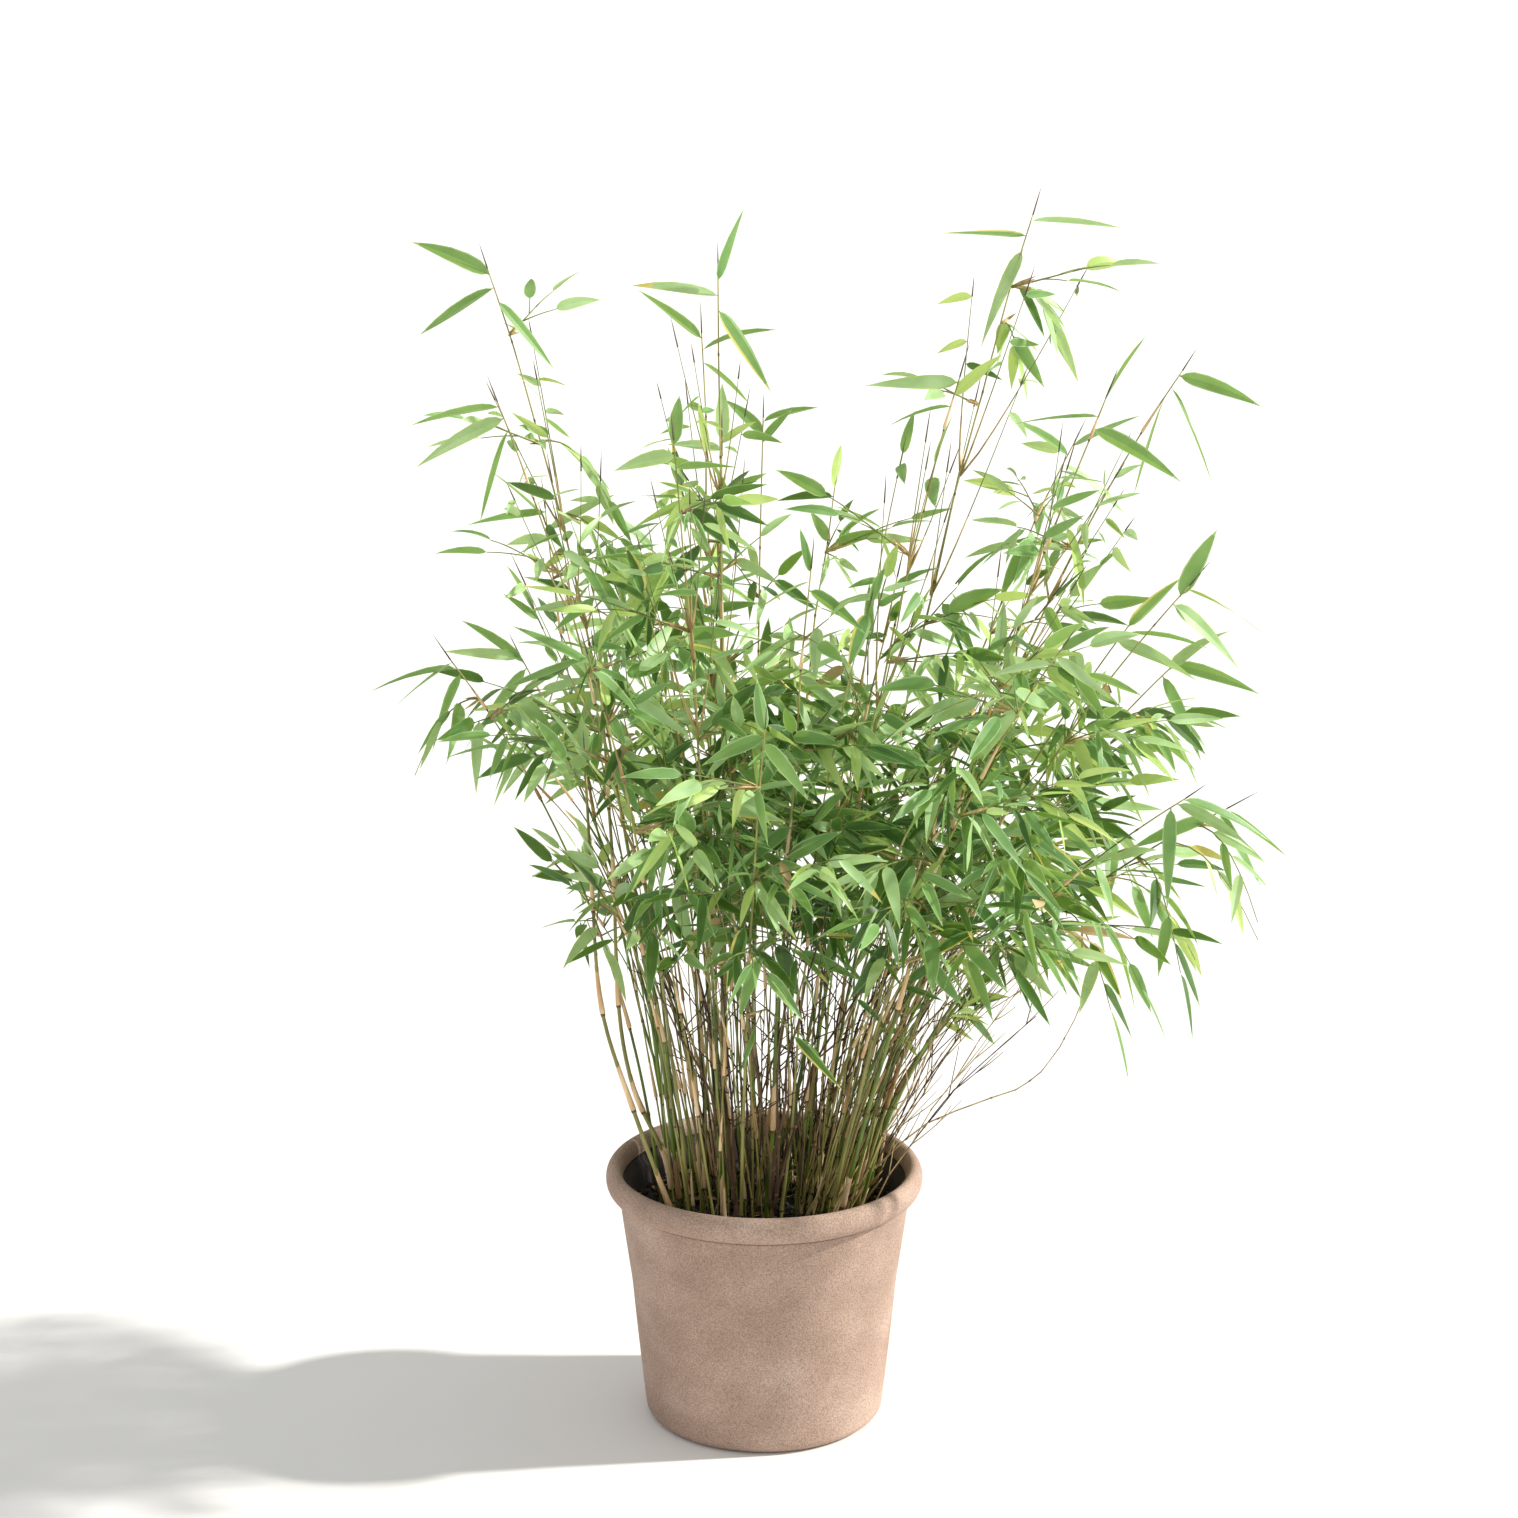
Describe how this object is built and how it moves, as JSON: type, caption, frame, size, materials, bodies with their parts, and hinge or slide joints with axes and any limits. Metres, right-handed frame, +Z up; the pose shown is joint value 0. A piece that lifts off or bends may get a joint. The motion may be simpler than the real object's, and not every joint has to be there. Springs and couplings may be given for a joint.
{
  "type": "potted bamboo",
  "caption": "Clump-forming garden bamboo in a round clay pot: arching leafy canes fan out of a dark compost bed inside a rolled rim.",
  "frame": {"origin": "centre of the pot's flat underside, where it stands on the ground", "axes": "+Z up along the pot's axis, +X to the right of the pictured side, +Y away from the viewer"},
  "size_m": [0.8515, 0.6766, 1.1626],
  "materials": {
    "clay": "matt grey-brown fired clay with a fine grain and cloudy lighter blotches",
    "compost": "near-black damp crumbly compost",
    "cane": "green canes with a soft sheen, ringed at the joints, with straw-coloured sheaths",
    "bare_stem": "dry brown stems and twigs",
    "foliage": "slim mid-green leaves with a satin face, a few yellowing"
  },
  "bodies": {
    "root": {"pot": "clay", "soil": "compost", "cane_01": "cane", "cane_02": "cane", "cane_03": "cane", "cane_04": "cane", "cane_05": "cane", "cane_06": "cane", "cane_07": "cane", "cane_08": "cane", "cane_09": "cane", "cane_10": "cane", "cane_11": "cane", "cane_12": "cane", "cane_13": "cane", "cane_14": "cane", "cane_15": "cane", "cane_16": "cane", "cane_17": "cane", "cane_18": "cane", "cane_19": "cane", "cane_20": "cane", "cane_21": "cane", "cane_22": "cane", "cane_23": "cane", "cane_24": "cane", "cane_25": "cane", "cane_26": "cane", "cane_27": "cane", "bare_stem_1": "bare_stem", "bare_stem_2": "bare_stem", "bare_stem_3": "bare_stem", "bare_stem_4": "bare_stem", "foliage_01": "foliage", "foliage_02": "foliage", "foliage_03": "foliage", "foliage_04": "foliage", "foliage_05": "foliage", "foliage_06": "foliage", "foliage_07": "foliage", "foliage_08": "foliage", "foliage_09": "foliage", "foliage_10": "foliage", "foliage_11": "foliage", "foliage_12": "foliage", "foliage_13": "foliage", "foliage_14": "foliage", "foliage_15": "foliage", "foliage_16": "foliage", "foliage_17": "foliage", "foliage_18": "foliage", "foliage_19": "foliage", "foliage_20": "foliage", "foliage_21": "foliage", "foliage_22": "foliage", "foliage_23": "foliage", "foliage_24": "foliage", "foliage_25": "foliage", "foliage_26": "foliage", "foliage_27": "foliage"}
  },
  "joints": []
}
